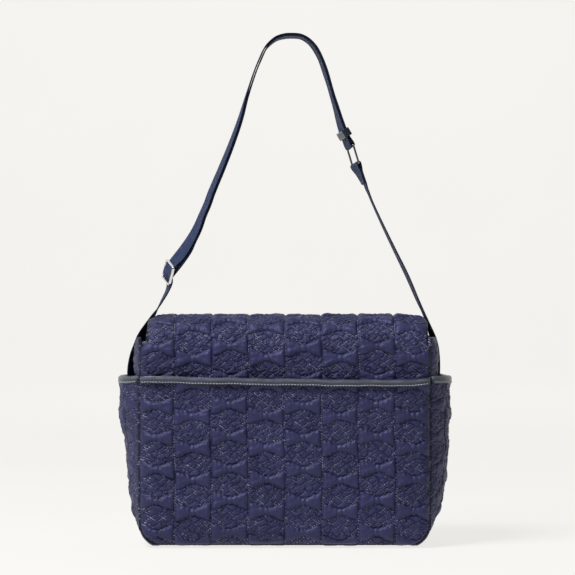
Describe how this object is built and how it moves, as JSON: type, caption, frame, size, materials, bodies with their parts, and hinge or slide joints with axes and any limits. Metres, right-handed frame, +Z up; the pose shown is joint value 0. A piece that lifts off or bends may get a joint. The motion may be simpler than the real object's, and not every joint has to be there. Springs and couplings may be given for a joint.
{
  "type": "diaper bag",
  "caption": "Quilted messenger-style baby changing bag with fold-over flap, slip and side pockets, and adjustable webbing shoulder strap.",
  "frame": {"origin": "middle of the base, on the surface the bag stands on", "axes": "+X along the bag's width, towards the side of the ring; +Y from the back face with the slip pocket to the front under the flap; +Z up"},
  "size_m": [0.4, 0.1503, 0.6189],
  "materials": {
    "quilted_fabric": "satin quilted nylon",
    "lining_fabric": "plain woven nylon",
    "leather_trim": "fine grain",
    "webbing": "close-woven webbing",
    "polished_steel": "polished",
    "snap_steel": "satin",
    "zip_tape": "woven tape",
    "zip_coil": "nylon coil",
    "stiffener": "matt sheet"
  },
  "bodies": {
    "bag": {"back_panel": "quilted_fabric", "front_panel": "quilted_fabric", "gusset_left": "quilted_fabric", "gusset_right": "quilted_fabric", "base_panel": "quilted_fabric", "base_board": "stiffener", "lining": "lining_fabric", "rim_binding": "lining_fabric", "back_pocket": "quilted_fabric", "back_pocket_binding": "leather_trim", "side_pocket_left": "quilted_fabric", "side_pocket_right": "quilted_fabric", "side_pocket_binding_left": "leather_trim", "side_pocket_binding_right": "leather_trim", "snap_sockets": "snap_steel", "snap_socket_plates": "snap_steel", "strap_anchor_left": "webbing", "strap_anchor_right": "webbing", "zip_tape": "zip_tape", "zip_coil": "zip_coil", "zip_stops": "polished_steel", "zip_pouch": "lining_fabric", "inner_pocket": "lining_fabric", "inner_pocket_elastic": "lining_fabric"},
    "flap_top": {"flap_top_panel": "quilted_fabric", "flap_top_lining": "lining_fabric"},
    "flap_front": {"flap_front_panel": "quilted_fabric", "flap_front_lining": "lining_fabric", "flap_binding": "leather_trim", "snap_studs": "snap_steel"},
    "strap": {"strap_outer_layer": "webbing", "strap_inner_layer": "webbing", "strap_lower_right": "webbing", "strap_ring": "polished_steel"},
    "strap_slider": {"slider_frame": "polished_steel", "slider_loop": "webbing"},
    "keeper": {"strap_keeper": "leather_trim"},
    "zip_runner": {"zip_slider": "polished_steel"},
    "zip_tab": {"zip_pull": "polished_steel"}
  },
  "joints": [
    {"name": "flap_open", "type": "hinge", "parent": "bag", "child": "flap_top", "pos_m": [0, -0.0666, 0.2506], "axis": [1, 0, 0], "range_deg": [0, 190], "deforming": ["flap_top_panel", "flap_top_lining", "flap_front_panel", "flap_front_lining", "flap_binding"]},
    {"name": "flap_front_fold", "type": "hinge", "parent": "flap_top", "child": "flap_front", "pos_m": [0, 0.04615, 0.2784], "axis": [1, 0, 0], "range_deg": [0, 150]},
    {"name": "strap_swing", "type": "hinge", "parent": "bag", "child": "strap", "pos_m": [0, 0, 0.3], "axis": [1, 0, 0], "range_deg": [-70, 70]},
    {"name": "slider_slide", "type": "slide", "parent": "strap", "child": "strap_slider", "axis": [0.4472, 0, 0.8944], "range_m": [-0.005, 0.075], "deforming": ["strap_inner_layer"]},
    {"name": "keeper_slide", "type": "slide", "parent": "strap", "child": "keeper", "axis": [-0.2837, 0, 0.9589], "range_m": [0, 0.045]},
    {"name": "zip_slide", "type": "slide", "parent": "bag", "child": "zip_runner", "axis": [1, 0, 0], "range_m": [-0.15, 0.011]},
    {"name": "zip_pull_swing", "type": "hinge", "parent": "zip_runner", "child": "zip_tab", "pos_m": [0.07, -0.0517, 0.189], "axis": [1, 0, 0], "range_deg": [0, 150]}
  ],
  "couplings": [
    {"joint": "flap_front_fold", "follows": "flap_open", "ratio": 0.789}
  ]
}
